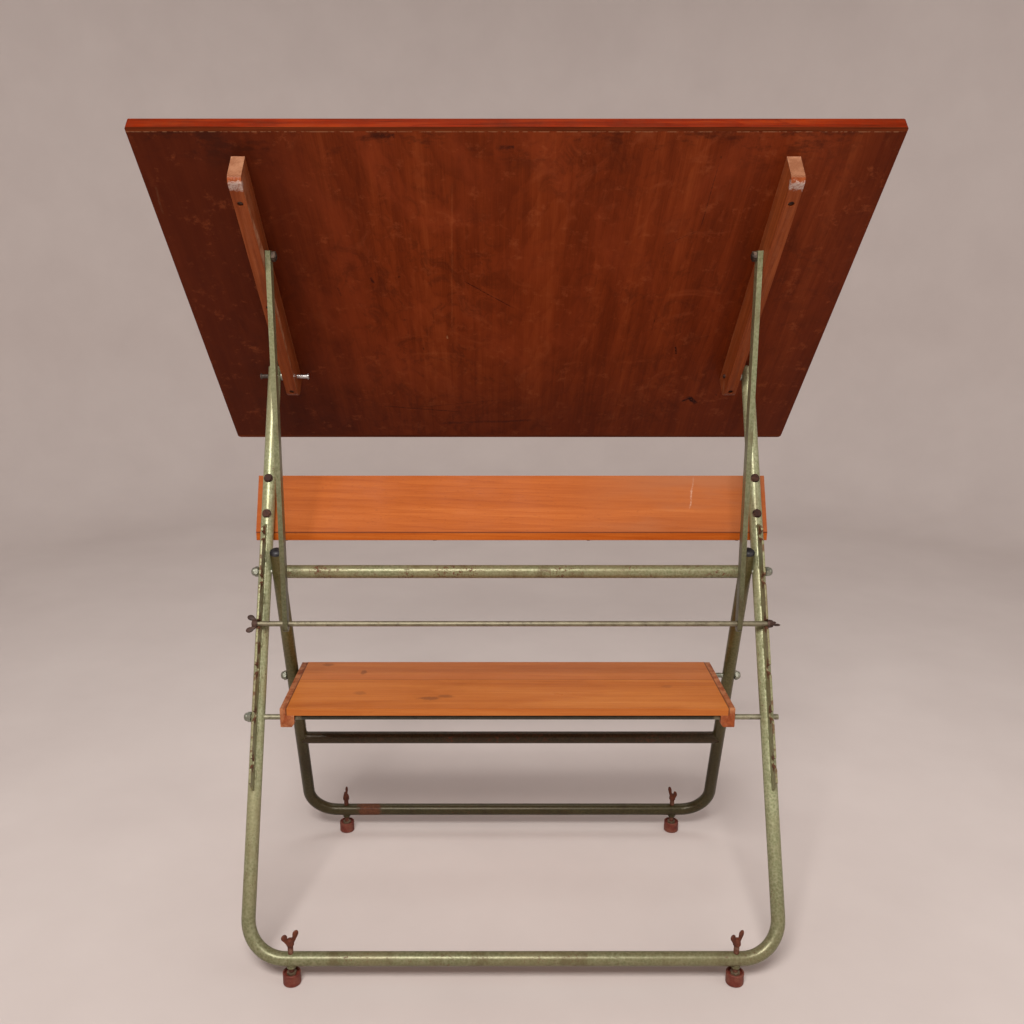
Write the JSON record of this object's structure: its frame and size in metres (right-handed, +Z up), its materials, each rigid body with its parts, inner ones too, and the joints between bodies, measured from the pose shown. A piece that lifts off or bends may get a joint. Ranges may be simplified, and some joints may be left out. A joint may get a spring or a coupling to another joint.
{
  "type": "portable drawing board",
  "caption": "Wooden drawing board on a folding tubular steel stand, tilted by struts in notched racks, with a tray and a low shelf.",
  "frame": {"origin": "on the floor, at the middle of the width and of the depth", "axes": "+Z up, +X to the right seen from the back of the stand, +Y towards the draughtsman's side, where the board's lower edge is"},
  "size_m": [1.2, 0.6844, 1.4564],
  "materials": {
    "green_tube": "hammered olive-green enamel, chipped and rusty",
    "rod_steel": "dull steel rod with old paint",
    "nut_steel": "dull zinc",
    "pin_zinc": "bright zinc",
    "rusty_fastener": "rusty",
    "rusty_wing": "rusty",
    "foot_cup": "dull red-brown",
    "tray_wood": "varnished orange-brown",
    "shelf_wood": "varnished orange-brown",
    "board_wood": "dark stained, scratched",
    "edge_wood": "varnished",
    "rail_wood": "stained",
    "black_plug": "matt"
  },
  "bodies": {
    "stand_front": {"front_frame": "green_tube", "rack_left": "green_tube", "rack_right": "green_tube", "pivot_rod": "rod_steel", "pivot_dome_nuts": "nut_steel", "shelf_front_rod": "rod_steel", "front_rod_nut": "nut_steel", "tray_back": "tray_wood", "tray_shelf": "tray_wood", "tray_bolts": "rusty_fastener", "tray_nuts": "rusty_fastener", "tray_screws": "rusty_fastener", "board_pin_left": "pin_zinc", "board_pin_right": "nut_steel", "pin_spacers": "nut_steel", "front_foot_collars": "green_tube"},
    "stand_rear": {"rear_frame": "green_tube", "rear_upper_crossbar": "green_tube", "rear_lower_crossbar": "green_tube", "rear_leg_caps": "black_plug", "shelf_rear_rod": "rod_steel", "rear_rod_nuts": "nut_steel", "rear_foot_collars": "green_tube"},
    "shelf": {"shelf_plank": "shelf_wood", "shelf_rail_left": "shelf_wood", "shelf_rail_right": "shelf_wood", "shelf_screws": "rusty_fastener"},
    "board": {"board_panel": "board_wood", "board_edge_top": "edge_wood", "board_edge_bottom": "edge_wood", "board_rail_left": "rail_wood", "board_rail_right": "rail_wood", "rail_screws": "rusty_fastener", "strut_bolts": "nut_steel", "strut_nuts": "nut_steel"},
    "struts": {"strut_left": "green_tube", "strut_right": "green_tube", "strut_rod": "rod_steel"},
    "wing_nut_left_body": {"wing_nut_left": "rusty_wing"},
    "wing_nut_right_body": {"wing_nut_right": "rusty_wing"},
    "foot_front_left": {"foot_screw_front_left": "rusty_wing", "foot_cup_front_left": "foot_cup"},
    "foot_front_right": {"foot_screw_front_right": "rusty_wing", "foot_cup_front_right": "foot_cup"},
    "foot_rear_left": {"foot_screw_rear_left": "rusty_wing", "foot_cup_rear_left": "foot_cup"},
    "foot_rear_right": {"foot_screw_rear_right": "rusty_wing", "foot_cup_rear_right": "foot_cup"}
  },
  "joints": [
    {"name": "rear_frame_fold", "type": "hinge", "parent": "stand_front", "child": "stand_rear", "pos_m": [0, -0.02931, 0.671], "axis": [1, 0, 0], "range_deg": [-36, 0]},
    {"name": "shelf_fold", "type": "hinge", "parent": "stand_rear", "child": "shelf", "pos_m": [0, 0.04948, 0.4256], "axis": [1, 0, 0], "range_deg": [-43.2, 0]},
    {"name": "board_tilt", "type": "hinge", "parent": "stand_front", "child": "board", "pos_m": [0, 0.13988, 1.02572], "axis": [-1, 0, 0], "range_deg": [0, 44]},
    {"name": "strut_swing", "type": "hinge", "parent": "board", "child": "struts", "pos_m": [0, -0.08445, 1.25321], "axis": [-1, 0, 0], "range_deg": [0, 60]},
    {"name": "wing_nut_left_turn", "type": "hinge", "parent": "struts", "child": "wing_nut_left_body", "pos_m": [-0.4815, -0.09889, 0.59085], "axis": [1, 0, 0], "continuous": true},
    {"name": "wing_nut_right_turn", "type": "hinge", "parent": "struts", "child": "wing_nut_right_body", "pos_m": [0.4815, -0.09889, 0.59085], "axis": [1, 0, 0], "continuous": true},
    {"name": "foot_level_front_left", "type": "slide", "parent": "stand_front", "child": "foot_front_left", "axis": [0, 0, 1], "range_m": [-0.011, 0.008]},
    {"name": "foot_level_front_right", "type": "slide", "parent": "stand_front", "child": "foot_front_right", "axis": [0, 0, 1], "range_m": [-0.011, 0.008]},
    {"name": "foot_level_rear_left", "type": "slide", "parent": "stand_rear", "child": "foot_rear_left", "axis": [0, 0, 1], "range_m": [-0.011, 0.008]},
    {"name": "foot_level_rear_right", "type": "slide", "parent": "stand_rear", "child": "foot_rear_right", "axis": [0, 0, 1], "range_m": [-0.011, 0.008]}
  ],
  "couplings": [
    {"joint": "shelf_fold", "follows": "rear_frame_fold", "ratio": 1.2}
  ]
}
